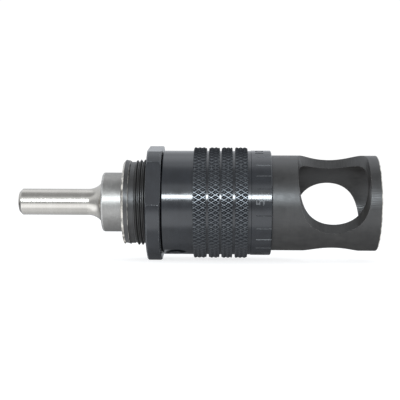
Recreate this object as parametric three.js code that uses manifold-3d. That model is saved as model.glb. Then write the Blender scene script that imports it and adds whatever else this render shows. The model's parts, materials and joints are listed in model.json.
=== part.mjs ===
// Adjustable depth-stop cage for a countersink cutter. Millimetres, +Z up.
// The tool lies along X: the drive shank points to -X and the open foot to +X.
// Inside the group, x = 0 is the foot's front face, so "back" is a distance behind that face.
// Clock angles go round the tool axis: 0 looks to -Y, 90 looks up.
import * as THREE from "three";
import { mergeVertices } from "three/addons/utils/BufferGeometryUtils.js";
import Module from "manifold-3d";

const wasm = await Module();
wasm.setup();

// Overall
const TOOL_LENGTH = 86;
const AXIS_HEIGHT = 13.762; // the lock nut's lowest corner touches z = 0

// Foot
const FOOT_R = 11.45;
const FOOT_BORE_R = 8.9;
const FOOT_BACK = 35.4;
const FOOT_SPIGOT_R = 10.8;
const FOOT_SPIGOT_FROM = 31.4;
const FOOT_GUIDE_R = 9.65;
const WEB_FRONT = 19.8;
const WEB_BACK = 21.4;
const WEB_HOLE_R = 5.5;
const WINDOW = { back: 10.9, cutterR: 8.35, offset: 11.2, clocks: [37, 217] };
const FOOT_STROKE = 6;

// Threaded body
const NOSE_FRONT = 28.6;
const NOSE_R = 9.45;
const NOSE_BORE_R = 8.2;
const THREAD_FRONT = 42; // behind the foot's reach at full stroke
const THREAD_BACK = 57.8;
const THREAD_R = 10.15;
const THREAD_BORE_R = 10.45;
const FLANGE_FRONT = 58.9;
const BODY_BACK = 60.5;
const FLANGE_R = 10.35;
const RELIEF_R = 9.9;
const BEARING_SEAT_R = 8;
const REAR_WALL = 58.85;
const KEYWAY = { clock: 180, width: 3.2, floorR: 9.2, from: 35, to: 57.4 };

// Guide pins between foot and body
const PIN_R = 1;
const PIN_BACK = 33;
const PIN_CLOCKS = [90, 270];

// Sleeve: four knurled bands, each from its front edge to its back edge
const SLEEVE_FRONT = 25.3;
const SLEEVE_BACK = 51;
const SCALE_R = 12.6;
const PLAIN_R = 12.5;
const KNURL_R = 13.35;
const KNURL_BANDS = [[30.9, 33.9], [34.45, 37.1], [37.5, 40.1], [40.6, 43.7]];
const BAND_CHAMFER = 0.25;
const SLEEVE_BORE_R = 11.65;
const SLEEVE_SHOULDER = 44.9;
const SPANNER_HOLE = { back: 47.6, clock: -74, r: 2.2, floorR: 11 };
const WASHER_RECESS = { r: 11.9, front: 50.3 };

// Lock nut: a round nut with two opposite pairs of spanner flats
const NUT = { front: 51.15, back: 54.6, r: 14.1, flatR: 13.05, flatClocks: [19.5, 80, 199.5, 260], chamfer: 0.3 };

// Spindle
const SHANK_R = 3.175;
const HUB_R = 7.15;
const HUB_FRONT = 60.75;
const HUB_BACK = 65.7;
const FILLET_R = 4.29;
const FILLET_BACK = 69.4;
const JOURNAL_R = 3.12;

// Bearings, inch size 1/4 x 5/8 x 0.196
const BEARING = { width: 4.98, outerR: 7.94, boreR: 3.2, pitchR: 5.55, ballR: 1.19, balls: 8 };
const FRONT_BEARING = 38;
const REAR_BEARING = REAR_WALL - 0.1 - BEARING.width;

const OUTER_SIDES = 44;
const INNER_SIDES = 24;

const paint = (color, roughness, metalness) => ({ color, roughness, metalness });
const FINISH = {
  blackSatin: paint(0x3b3d40, 0.5, 0.7),
  blackPolished: paint(0x2c2f35, 0.3, 0.8),
  brightSteel: paint(0xb9bab8, 0.28, 1),
  groundSteel: paint(0x9c9d9e, 0.35, 1),
  springSteel: paint(0x6b6d70, 0.4, 1),
  brass: paint(0xb08d4c, 0.4, 1),
  rubber: paint(0x1b1b1c, 0.85, 0),
};

// --- shapes ---

// Points of a circular arc in the profile plane, from one angle to another, in degrees.
function arc(back, radius, arcR, from, to, steps) {
  return Array.from({ length: steps + 1 }, (_, i) => {
    const a = THREE.MathUtils.degToRad(from + ((to - from) * i) / steps);
    return [back + arcR * Math.cos(a), radius + arcR * Math.sin(a)];
  });
}

// A turned solid. Its profile is a list of [back, radius], closed on itself or started and ended on the axis.
function turned(profile, sides = INNER_SIDES) {
  const points = profile.map(([back, radius]) => new THREE.Vector2(radius, -back));
  if (profile[0][1] > 0) points.push(points[0].clone());
  if (THREE.ShapeUtils.area(points) < 0) points.reverse();
  return new THREE.LatheGeometry(points, sides).rotateZ(-Math.PI / 2);
}

const ring = (front, back, innerR, outerR, sides) =>
  turned([[front, innerR], [front, outerR], [back, outerR], [back, innerR]], sides);

// Turns a shape built with +Y outwards round the tool axis to a clock angle.
const facing = (geometry, clock) => geometry.rotateX(Math.PI - THREE.MathUtils.degToRad(clock));

// A block at a clock angle, between two distances behind the face and two radii.
function block(clock, from, to, innerR, outerR, width) {
  const box = new THREE.BoxGeometry(to - from, outerR - innerR, width);
  return facing(box.translate(-(from + to) / 2, (innerR + outerR) / 2, 0), clock);
}

// A radial pin or drill at a clock angle.
function radialPin(clock, back, r, innerR, outerR, sides = 16) {
  const pin = new THREE.CylinderGeometry(r, r, outerR - innerR, sides);
  return facing(pin.translate(-back, (innerR + outerR) / 2, 0), clock);
}

function toSolid(geometry) {
  const flat = geometry.index ? geometry.toNonIndexed() : geometry;
  const bare = new THREE.BufferGeometry().setAttribute("position", flat.getAttribute("position"));
  const merged = mergeVertices(bare, 1e-4);
  const vertProperties = new Float32Array(merged.attributes.position.array);
  const triVerts = new Uint32Array(merged.index.array);
  return new wasm.Manifold(new wasm.Mesh({ numProp: 3, vertProperties, triVerts }));
}

function toGeometry(solid) {
  const { vertProperties, triVerts } = solid.getMesh();
  const geometry = new THREE.BufferGeometry();
  geometry.setAttribute("position", new THREE.BufferAttribute(vertProperties, 3));
  geometry.setIndex(new THREE.BufferAttribute(triVerts, 1));
  geometry.computeVertexNormals();
  return geometry;
}

function cut(base, ...tools) {
  return toGeometry(tools.reduce((solid, tool) => solid.subtract(toSolid(tool)), toSolid(base)));
}

const join = (a, b) => toGeometry(toSolid(a).add(toSolid(b)));

// --- pieces ---

function footPiece() {
  const edge = 0.2;
  const shell = turned([
    [edge, FOOT_R], [FOOT_SPIGOT_FROM, FOOT_R], [FOOT_SPIGOT_FROM + 0.3, FOOT_SPIGOT_R],
    [FOOT_BACK - 0.3, FOOT_SPIGOT_R], [FOOT_BACK, FOOT_SPIGOT_R - 0.3], [FOOT_BACK, FOOT_GUIDE_R],
    [WEB_BACK, FOOT_GUIDE_R], [WEB_BACK, WEB_HOLE_R], [WEB_FRONT, WEB_HOLE_R],
    [WEB_FRONT, FOOT_BORE_R], [edge, FOOT_BORE_R], [0, FOOT_BORE_R + edge], [0, FOOT_R - edge],
  ], OUTER_SIDES);
  const windows = WINDOW.clocks.map((clock) => {
    const cutter = new THREE.CylinderGeometry(WINDOW.cutterR, WINDOW.cutterR, 4 * FOOT_R, 44);
    return facing(cutter.rotateX(Math.PI / 2).translate(-WINDOW.back, WINDOW.offset, 0), clock);
  });
  const clear = PIN_R + 0.2;
  const slots = PIN_CLOCKS.map((clock) =>
    block(clock, PIN_BACK - FOOT_STROKE - clear, PIN_BACK + clear, FOOT_GUIDE_R - 1, FOOT_R + 1, 2 * clear));
  return cut(shell, ...windows, ...slots);
}

function threadedBody() {
  const groove = { front: 36.25, back: 37.15, r: 8.6 };
  const sealSeat = { front: 59.6, r: 6.3 };
  const wallHoleR = 5.2;
  const blank = turned([
    [NOSE_FRONT, NOSE_R - 0.3], [NOSE_FRONT + 0.3, NOSE_R], [THREAD_FRONT, NOSE_R],
    [THREAD_FRONT + 0.6, THREAD_R], [THREAD_BACK - 0.3, THREAD_R], [THREAD_BACK, RELIEF_R],
    [FLANGE_FRONT, RELIEF_R], [FLANGE_FRONT, FLANGE_R],
    ...arc(BODY_BACK - 0.45, FLANGE_R - 0.45, 0.45, 90, 0, 3),
    [BODY_BACK, sealSeat.r], [sealSeat.front, sealSeat.r], [sealSeat.front, wallHoleR],
    [REAR_WALL, wallHoleR], [REAR_WALL, BEARING_SEAT_R], [groove.back, BEARING_SEAT_R],
    [groove.back, groove.r], [groove.front, groove.r], [groove.front, NOSE_BORE_R],
    [NOSE_FRONT, NOSE_BORE_R],
  ], OUTER_SIDES);
  const keyway = block(KEYWAY.clock, KEYWAY.from, KEYWAY.to, KEYWAY.floorR, FLANGE_R + 1, KEYWAY.width);
  const pinHoles = PIN_CLOCKS.map((clock) => radialPin(clock, PIN_BACK, PIN_R + 0.08, 7, 11));
  return cut(blank, keyway, ...pinHoles);
}

function micrometerSleeve() {
  const bands = KNURL_BANDS.flatMap(([front, back]) => [
    [front, PLAIN_R], [front + BAND_CHAMFER, KNURL_R], [back - BAND_CHAMFER, KNURL_R], [back, PLAIN_R],
  ]);
  const clipGroove = { front: 42.8, back: 43.55, r: 11.95 };
  const blank = turned([
    [SLEEVE_FRONT, SCALE_R - 0.25], [SLEEVE_FRONT + 0.25, SCALE_R], [KNURL_BANDS[0][0] - 0.1, SCALE_R],
    ...bands, [SLEEVE_BACK - 0.3, PLAIN_R], [SLEEVE_BACK, PLAIN_R - 0.3],
    [SLEEVE_BACK, WASHER_RECESS.r], [WASHER_RECESS.front, WASHER_RECESS.r],
    [WASHER_RECESS.front, THREAD_BORE_R], [SLEEVE_SHOULDER, THREAD_BORE_R],
    [SLEEVE_SHOULDER, SLEEVE_BORE_R], [clipGroove.back, SLEEVE_BORE_R], [clipGroove.back, clipGroove.r],
    [clipGroove.front, clipGroove.r], [clipGroove.front, SLEEVE_BORE_R], [SLEEVE_FRONT, SLEEVE_BORE_R],
  ], OUTER_SIDES);
  const { clock, back, r, floorR } = SPANNER_HOLE;
  return cut(blank, radialPin(clock, back, r, floorR, KNURL_R + 1, 24));
}

function lockNut() {
  const { front, back, r, flatR, chamfer } = NUT;
  const blank = turned([
    [front, r - chamfer], [front + chamfer, r], [back - chamfer, r], [back, r - chamfer],
    [back, THREAD_BORE_R + 0.3], [back - 0.3, THREAD_BORE_R],
    [front + 0.3, THREAD_BORE_R], [front, THREAD_BORE_R + 0.3],
  ], OUTER_SIDES);
  return cut(blank, ...NUT.flatClocks.map((clock) => block(clock, front - 1, back + 1, flatR, r + 2, 2 * r)));
}

// A thin ring with an inner tab that runs in the body's keyway.
function tabWasher(front, back, outerR) {
  const tab = block(KEYWAY.clock, front, back, KEYWAY.floorR + 0.2, THREAD_BORE_R + 0.4, KEYWAY.width - 0.5);
  return join(ring(front, back, THREAD_BORE_R + 0.05, outerR), tab);
}

function spindle() {
  const filletTop = Math.sqrt(FILLET_R ** 2 - (FILLET_BACK - HUB_BACK) ** 2);
  const filletEnd = THREE.MathUtils.radToDeg(Math.atan2(filletTop, FILLET_BACK - HUB_BACK));
  const boss = { r: 4, front: REAR_WALL - 0.05 };
  const tail = { back: FRONT_BEARING - 0.05, front: 30, r: 2.9 };
  const chamfer = 0.75;
  return turned([
    [TOOL_LENGTH, 0], [TOOL_LENGTH, SHANK_R - chamfer], [TOOL_LENGTH - chamfer, SHANK_R],
    ...arc(FILLET_BACK, SHANK_R + FILLET_R, FILLET_R, 270, 180 + filletEnd, 6),
    ...arc(HUB_BACK - 0.55, HUB_R - 0.55, 0.55, 0, 90, 4),
    [HUB_FRONT + 0.2, HUB_R], [HUB_FRONT, HUB_R - 0.2], [HUB_FRONT, boss.r], [boss.front, boss.r],
    [boss.front, JOURNAL_R], [tail.back, JOURNAL_R], [tail.back, tail.r],
    [tail.front + 0.5, tail.r], [tail.front, tail.r - 0.5], [tail.front, 0],
  ], 32);
}

function cutterSocket() {
  const front = 20.6;
  const back = FRONT_BEARING - 0.1;
  const outerR = 4.75;
  const stepAt = 35.4;
  const blank = turned([
    [front, 3.1], [front, outerR - 0.4], [front + 0.4, outerR], [stepAt, outerR], [stepAt, 4.1],
    [back, 4.1], [back, 3.05], [29.5, 3.05], [29.5, 2.8], [front + 0.3, 2.8],
  ]);
  const flats = [90, 270].map((clock) => block(clock, 22.2, 26, 4.1, 6, 12));
  return cut(blank, ...flats);
}

function footSpring() {
  const wireR = 0.6;
  const coilR = 7.05;
  const front = WEB_BACK + 0.35 + wireR;
  const back = 35.3 - wireR;
  const turns = 5.5;
  const closedTurn = 2 * wireR + 0.05; // axial step of the closed turn at each end
  const openTurn = (back - front - 2 * closedTurn) / (turns - 2);
  class Coil extends THREE.Curve {
    getPoint(t, target = new THREE.Vector3()) {
      const turn = t * turns;
      const open = Math.min(Math.max(turn - 1, 0), turns - 2);
      const axial = open * openTurn + (turn - open) * closedTurn;
      const a = turn * 2 * Math.PI;
      return target.set(-(front + axial), coilR * Math.cos(a), coilR * Math.sin(a));
    }
  }
  const section = new THREE.Shape().absarc(0, 0, wireR, 0, 2 * Math.PI);
  return new THREE.ExtrudeGeometry(section, { steps: 66, curveSegments: 3, extrudePath: new Coil() });
}

// A snap ring: a flat ring with a gap.
const snapRing = (front, back, innerR, outerR, clock, gap) =>
  cut(ring(front, back, innerR, outerR), block(clock, front - 1, back + 1, innerR - 1, outerR + 1, gap));

function preloadWasher(front, back) {
  const thick = 0.25;
  const swing = (back - front - thick) / 2;
  const washer = ring(front + swing, back - swing, 6.9, 7.8, 30);
  const p = washer.getAttribute("position");
  for (let i = 0; i < p.count; i++) {
    p.setX(i, p.getX(i) + swing * Math.sin(3 * Math.atan2(p.getZ(i), p.getY(i))));
  }
  return washer;
}

// --- bearings ---

const RACE_R = BEARING.ballR + 0.11;
const INNER_LAND_R = 4.75;
const OUTER_LAND_R = 6.35;

// The ball track's outline, from one shoulder to the other.
function track(mid, landR, side) {
  const reach = THREE.MathUtils.radToDeg(Math.acos(Math.abs(landR - BEARING.pitchR) / RACE_R));
  return arc(mid, BEARING.pitchR, RACE_R, side * (90 + reach), side * (90 - reach), 5);
}

function innerRing(front) {
  const back = front + BEARING.width;
  return turned([
    [front, BEARING.boreR], [front, INNER_LAND_R],
    ...track((front + back) / 2, INNER_LAND_R, -1),
    [back, INNER_LAND_R], [back, BEARING.boreR],
  ]);
}

function outerRing(front) {
  const back = front + BEARING.width;
  return turned([
    [front, BEARING.outerR], [front, OUTER_LAND_R],
    ...track((front + back) / 2, OUTER_LAND_R, 1),
    [back, OUTER_LAND_R], [back, BEARING.outerR],
  ], 32);
}

const ballClock = (i) => (360 / BEARING.balls) * i;

function ball(mid, i, r) {
  return facing(new THREE.SphereGeometry(r, 10, 6).translate(-mid, BEARING.pitchR, 0), ballClock(i));
}

// Crown cage: a ring on one side of the balls, with fingers between them. side is 1 when the ring is at the back.
function ballCage(front, side) {
  const mid = front + BEARING.width / 2;
  const edges = [mid + side * 1.9, mid - side * 0.6].sort((a, b) => a - b);
  const pockets = Array.from({ length: BEARING.balls }, (_, i) => ball(mid, i, RACE_R + 0.05));
  return cut(ring(...edges, 5.1, 6), ...pockets);
}

// --- assembly ---

const part = new THREE.Group();
const tool = new THREE.Group();
tool.position.set(TOOL_LENGTH / 2, 0, AXIS_HEIGHT);
part.add(tool);

function add(name, geometry, finish) {
  const mesh = new THREE.Mesh(geometry, new THREE.MeshStandardMaterial(finish));
  mesh.name = name;
  tool.add(mesh);
}

function addBearing(prefix, front, side) {
  const mid = front + BEARING.width / 2;
  const shield = side > 0 ? front + BEARING.width - 0.4 : front + 0.15;
  add(`${prefix}_outer_ring`, outerRing(front), FINISH.groundSteel);
  add(`${prefix}_inner_ring`, innerRing(front), FINISH.groundSteel);
  add(`${prefix}_ball_cage`, ballCage(front, side), FINISH.brass);
  add(`${prefix}_shield`, ring(shield, shield + 0.25, 4.95, OUTER_LAND_R - 0.1), FINISH.groundSteel);
  for (let i = 0; i < BEARING.balls; i++) {
    add(`${prefix}_ball_${i + 1}`, ball(mid, i, BEARING.ballR), FINISH.brightSteel);
  }
}

add("foot_piece", footPiece(), FINISH.blackSatin);
add("foot_spring", footSpring(), FINISH.springSteel);
add("spring_seat", ring(35.4, 36, 5.3, 7.95), FINISH.groundSteel);
add("threaded_body", threadedBody(), FINISH.blackSatin);
PIN_CLOCKS.forEach((clock, i) =>
  add(`guide_pin_${"ab"[i]}`, radialPin(clock, PIN_BACK, PIN_R, 8.35, 10.55), FINISH.groundSteel));
add("body_clip", snapRing(36.35, 37.05, 6.9, 8.5, 0, 2.4), FINISH.springSteel);
add("preload_washer", preloadWasher(37.2, 37.85), FINISH.springSteel);
add("dust_seal", ring(59.75, 60.35, 4.15, 6.15), FINISH.rubber);
add("micrometer_sleeve", micrometerSleeve(), FINISH.blackPolished);
add("stop_washer", tabWasher(43.75, 44.7, 11.5), FINISH.groundSteel);
add("stop_clip", snapRing(42.9, 43.45, 11.15, 11.88, 60, 2.4), FINISH.springSteel);
add("lock_washer", tabWasher(50.5, 51.05, 11.7), FINISH.blackSatin);
add("lock_nut", lockNut(), FINISH.blackPolished);
add("spindle", spindle(), FINISH.brightSteel);
add("cutter_socket", cutterSocket(), FINISH.brightSteel);
addBearing("front_bearing", FRONT_BEARING, -1);
addBearing("rear_bearing", REAR_BEARING, 1);
const spacer = [FRONT_BEARING + BEARING.width + 0.1, REAR_BEARING - 0.1];
add("inner_spacer", ring(...spacer, 3.25, 4.2), FINISH.groundSteel);
add("outer_spacer", ring(...spacer, 6.6, 7.9), FINISH.groundSteel);

export default part;
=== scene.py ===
# Looks of the adjustable depth-stop cage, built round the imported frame.
# The tool lies along X with its open foot at +X. "back" is the distance behind the foot's face, and
# "clock" goes round the tool axis: 0 faces -Y, 90 faces up. Dictionaries are in millimetres and degrees.
import json
import math

import bmesh
import bpy
from mathutils import Matrix, Vector


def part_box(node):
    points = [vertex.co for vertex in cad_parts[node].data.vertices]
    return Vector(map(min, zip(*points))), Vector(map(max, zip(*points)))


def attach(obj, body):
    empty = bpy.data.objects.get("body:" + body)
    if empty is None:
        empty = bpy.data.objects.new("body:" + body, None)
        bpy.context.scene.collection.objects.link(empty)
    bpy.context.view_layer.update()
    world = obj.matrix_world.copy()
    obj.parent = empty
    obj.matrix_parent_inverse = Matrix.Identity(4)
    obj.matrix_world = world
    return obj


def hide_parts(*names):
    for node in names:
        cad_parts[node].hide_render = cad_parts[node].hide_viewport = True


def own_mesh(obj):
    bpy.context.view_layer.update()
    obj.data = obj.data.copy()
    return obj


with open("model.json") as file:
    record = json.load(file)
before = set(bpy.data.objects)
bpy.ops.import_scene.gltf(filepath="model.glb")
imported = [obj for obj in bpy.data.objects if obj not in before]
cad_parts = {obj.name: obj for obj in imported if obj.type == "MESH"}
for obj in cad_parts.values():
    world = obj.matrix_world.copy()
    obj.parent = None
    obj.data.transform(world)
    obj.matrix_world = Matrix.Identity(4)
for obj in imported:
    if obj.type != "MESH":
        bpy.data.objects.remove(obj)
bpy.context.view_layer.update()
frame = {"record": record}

mm = 0.001
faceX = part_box("foot_piece")[1].x
axisZ = sum(corner.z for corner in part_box("spindle")) / 2
scene = bpy.context.scene
print("frame loaded, axis height", round(axisZ / mm, 3))


# metres, with the roll in degrees and the lens in millimetres
cameraLook = {"place": (0.0070, -0.2300, 0.01405), "target": (0.0007, 0, 0.01435), "roll": 0.29, "lens": 85.5,
              "sensor": 36, "nearest": 0.01}


def makeCamera(look):
    camera = bpy.data.objects.new("mainCamera", bpy.data.cameras.new("mainCamera"))
    camera.data.lens = look["lens"]
    camera.data.sensor_width = look["sensor"]
    camera.data.clip_start = look["nearest"]
    aim = (Vector(look["target"]) - Vector(look["place"])).to_track_quat("-Z", "Y")
    turn = Matrix.Rotation(math.radians(look["roll"]), 4, "Z")
    camera.matrix_world = Matrix.Translation(look["place"]) @ aim.to_matrix().to_4x4() @ turn
    scene.collection.objects.link(camera)
    scene.camera = camera


makeCamera(cameraLook)


def place(back, radius, clock):
    angle = math.radians(clock)
    return Vector((faceX - back * mm, -radius * mm * math.cos(angle), axisZ + radius * mm * math.sin(angle)))


def span(node):
    # front and back of a frame node, as distances behind the foot's face
    low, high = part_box(node)
    return (faceX - high.x) / mm, (faceX - low.x) / mm


bodyOf = {node: body for body, nodes in frame["record"]["behaviour"]["bodies"].items() for node in nodes}


def addNode(tree, kind, inputs=None, **settings):
    made = tree.nodes.new(kind)
    for name, value in settings.items():
        setattr(made, name, value)
    for key, value in (inputs or {}).items():
        if isinstance(value, bpy.types.NodeSocket):
            tree.links.new(value, made.inputs[key])
        else:
            made.inputs[key].default_value = value
    return made


def calc(tree, operation, *values):
    return addNode(tree, "ShaderNodeMath", dict(enumerate(values)), operation=operation).outputs[0]


def remap(tree, value, low, high, toLow=0.0, toHigh=1.0):
    inputs = {"Value": value, "From Min": low, "From Max": high, "To Min": toLow, "To Max": toHigh}
    return addNode(tree, "ShaderNodeMapRange", inputs).outputs[0]


mixSockets = {"RGBA": (6, 7, 2), "VECTOR": (4, 5, 1)}  # a Mix node's two inputs and its output


def mixed(tree, kind, share, one, other):
    first, second, result = mixSockets[kind]
    return addNode(tree, "ShaderNodeMix", {0: share, first: one, second: other}, data_type=kind).outputs[result]


def addSocket(tree, name, way, kind, value=None):
    socket = tree.interface.new_socket(name=name, in_out=way, socket_type="NodeSocket" + kind)
    if value is not None:
        socket.default_value = value


def shaderGroup(name, inputs, outputs):
    tree = bpy.data.node_groups.new(name, "ShaderNodeTree")
    for label, value in inputs.items():
        addSocket(tree, label, "INPUT", "Float", value)
    for label in outputs:
        addSocket(tree, label, "OUTPUT", "Float")
    return tree, tree.nodes.new("NodeGroupInput").outputs, tree.nodes.new("NodeGroupOutput")


def objectNoise(tree, scale, detail=4.0, roughness=0.6, stretch=None):
    where = tree.nodes.new("ShaderNodeTexCoord").outputs["Object"]
    if stretch:
        where = addNode(tree, "ShaderNodeMapping", {"Vector": where, "Scale": stretch}).outputs[0]
    inputs = {"Vector": where, "Scale": scale, "Detail": detail, "Roughness": roughness}
    return addNode(tree, "ShaderNodeTexNoise", inputs).outputs["Fac"]


noiseRange = 0.3, 0.7  # noise seldom leaves it
wearPatches = {"from": 0.38, "to": 0.60, "least": 0.25, "detail": 3.0}
reliefEdges = {"floorSolid": 0.4, "crest": 0.5, "tipSolid": 0.48}
bumpDepth = 0.02 * mm
blotchInRough = 0.6


def makeEdgeWear():
    # bright metal where a corner is rubbed: the faces marked "edge", broken up by noise
    tree, given, out = shaderGroup("edgeWear", {"Amount": 0.6, "Scale": 700.0}, ["Mask"])
    marked = addNode(tree, "ShaderNodeAttribute", attribute_name="edge").outputs["Fac"]
    patches = objectNoise(tree, given["Scale"], wearPatches["detail"])
    broken = remap(tree, patches, wearPatches["from"], wearPatches["to"], wearPatches["least"])
    worn = calc(tree, "MULTIPLY", marked, broken)
    tree.links.new(calc(tree, "MULTIPLY", worn, given["Amount"]), out.inputs["Mask"])
    return tree


def makeGrain():
    # fine blasted or etched grain, with larger soft blotches
    tree, given, out = shaderGroup("surfaceGrain", {"Fine Scale": 9000.0, "Blotch Scale": 260.0},
                                   ["Fine", "Blotch", "Height"])
    fine = objectNoise(tree, given["Fine Scale"], 3.0, 0.7)
    blotch = objectNoise(tree, given["Blotch Scale"], 5.0, 0.65)
    tree.links.new(remap(tree, fine, *noiseRange), out.inputs["Fine"])
    tree.links.new(remap(tree, blotch, *noiseRange), out.inputs["Blotch"])
    tree.links.new(fine, out.inputs["Height"])
    return tree


def makeTurning():
    # lathe lines that run round the tool axis
    tree, given, out = shaderGroup("turningLines", {"Scale": 4200.0}, ["Line", "Height"])
    lines = objectNoise(tree, given["Scale"], 4.0, 0.75, stretch=(1.0, 0.012, 0.012))
    tree.links.new(remap(tree, lines, *noiseRange), out.inputs["Line"])
    tree.links.new(lines, out.inputs["Height"])
    return tree


# steel unless a finish says otherwise: colours are (red, green, blue), rough is (least, most), the scales of
# the fine grain, the blotches and the lathe lines are per metre
plainSteel = {"metallic": 1.0, "ior": 1.5}
finishes = {
    "blackSatin": {"color": (0.012, 0.011, 0.010), "spot": (0.036, 0.034, 0.031), "worn": (0.62, 0.58, 0.52),
                   "metallic": 0.0, "ior": 1.68, "rough": (0.28, 0.50), "wear": 1.0, "fine": 5200.0,
                   "blotch": 420.0, "lines": 2600.0, "lineShare": 0.3, "bump": 0.16},
    "blackPolished": {"color": (0.005, 0.006, 0.008), "spot": (0.014, 0.017, 0.022), "worn": (0.40, 0.41, 0.42),
                      "metallic": 0.0, "ior": 1.72, "rough": (0.10, 0.20), "wear": 0.6, "fine": 7000.0,
                      "blotch": 420.0, "lines": 4200.0, "lineShare": 0.5, "bump": 0.05},
    # the knurl's net colour is a painted sheen: its groove floors and tips are coloured light for the light they
    # catch
    "knurledBlack": {"color": (0.006, 0.007, 0.009), "spot": (0.016, 0.018, 0.022), "worn": (0.40, 0.41, 0.42),
                     "metallic": 0.0, "ior": 1.4, "rough": (0.24, 0.36), "wear": 0.6, "netSheen": (0.16, 0.17, 0.18),
                     "fine": 7000.0, "blotch": 500.0, "lines": 3000.0, "lineShare": 0.1, "bump": 0.05},
    "engravedMark": {"color": (0.022, 0.023, 0.025), "spot": (0.11, 0.114, 0.12), "worn": (0.5, 0.5, 0.5),
                     "metallic": 0.0, "ior": 1.6, "rough": (0.25, 0.40), "wear": 0.5, "fine": 6000.0,
                     "blotch": 900.0, "lines": 3000.0, "lineShare": 0.1, "bump": 0.1},
    "brightSteel": {"color": (0.50, 0.475, 0.43), "spot": (0.64, 0.61, 0.56), "worn": (0.75, 0.74, 0.71),
                    "rough": (0.15, 0.26), "wear": 0.6, "fine": 6000.0,
                    "blotch": 350.0, "lines": 5200.0, "lineShare": 0.8, "bump": 0.06},
    "satinSteel": {"color": (0.27, 0.26, 0.245), "spot": (0.46, 0.45, 0.425), "worn": (0.70, 0.69, 0.66),
                   "rough": (0.32, 0.50), "wear": 0.7, "fine": 4200.0,
                   "blotch": 500.0, "lines": 2600.0, "lineShare": 0.35, "bump": 0.22},
    "groundSteel": {"color": (0.40, 0.40, 0.40), "spot": (0.55, 0.55, 0.54), "worn": (0.75, 0.75, 0.74),
                    "rough": (0.22, 0.34), "wear": 0.5, "fine": 6500.0,
                    "blotch": 400.0, "lines": 4600.0, "lineShare": 0.8, "bump": 0.05},
    "springSteel": {"color": (0.16, 0.165, 0.17), "spot": (0.29, 0.29, 0.295), "worn": (0.5, 0.5, 0.5),
                    "rough": (0.25, 0.42), "wear": 0.4, "fine": 5000.0,
                    "blotch": 600.0, "lines": 2500.0, "lineShare": 0.2, "bump": 0.08},
    "brassCage": {"color": (0.46, 0.32, 0.12), "spot": (0.60, 0.44, 0.19), "worn": (0.8, 0.65, 0.35),
                  "rough": (0.25, 0.42), "wear": 0.5, "fine": 6000.0,
                  "blotch": 500.0, "lines": 3500.0, "lineShare": 0.5, "bump": 0.06},
    "sealRubber": {"color": (0.012, 0.012, 0.012), "spot": (0.028, 0.028, 0.027), "worn": (0.06, 0.06, 0.06),
                   "metallic": 0.0, "ior": 1.45, "rough": (0.55, 0.80), "wear": 0.4, "fine": 3500.0,
                   "blotch": 700.0, "lines": 1500.0, "lineShare": 0.3, "bump": 0.25},
}


def makeReliefNet():
    # a mask of a knurl's rounded groove floors and tips, which shine between dark flanks, and a rounded normal for
    # them; the finish gives them a painted sheen
    tree, given, out = shaderGroup("reliefNet", {"Floor Width": 0.085, "Tip Width": 0.1, "Axis Height": 0.01},
                                   ["Mask"])
    addSocket(tree, "Normal", "OUTPUT", "Vector")
    relief = addNode(tree, "ShaderNodeAttribute", attribute_name="relief").outputs["Fac"]
    floorSolid = calc(tree, "MULTIPLY", given["Floor Width"], reliefEdges["floorSolid"])
    floor = remap(tree, relief, given["Floor Width"], floorSolid)
    tipStart = calc(tree, "SUBTRACT", reliefEdges["crest"], given["Tip Width"])
    tip = remap(tree, relief, tipStart, reliefEdges["tipSolid"])
    mask = calc(tree, "MAXIMUM", floor, tip)
    tree.links.new(mask, out.inputs["Mask"])
    where = tree.nodes.new("ShaderNodeTexCoord").outputs["Object"]
    parts = addNode(tree, "ShaderNodeSeparateXYZ", {"Vector": where})
    up = calc(tree, "SUBTRACT", parts.outputs["Z"], given["Axis Height"])
    outward = addNode(tree, "ShaderNodeCombineXYZ", {"Y": parts.outputs["Y"], "Z": up}).outputs[0]
    outward = addNode(tree, "ShaderNodeVectorMath", {0: outward}, operation="NORMALIZE").outputs[0]
    own = tree.nodes.new("ShaderNodeNewGeometry").outputs["Normal"]
    tree.links.new(mixed(tree, "VECTOR", mask, own, outward), out.inputs["Normal"])
    return tree


edgeWear, surfaceGrain, turningLines, reliefNet = makeEdgeWear(), makeGrain(), makeTurning(), makeReliefNet()


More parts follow.
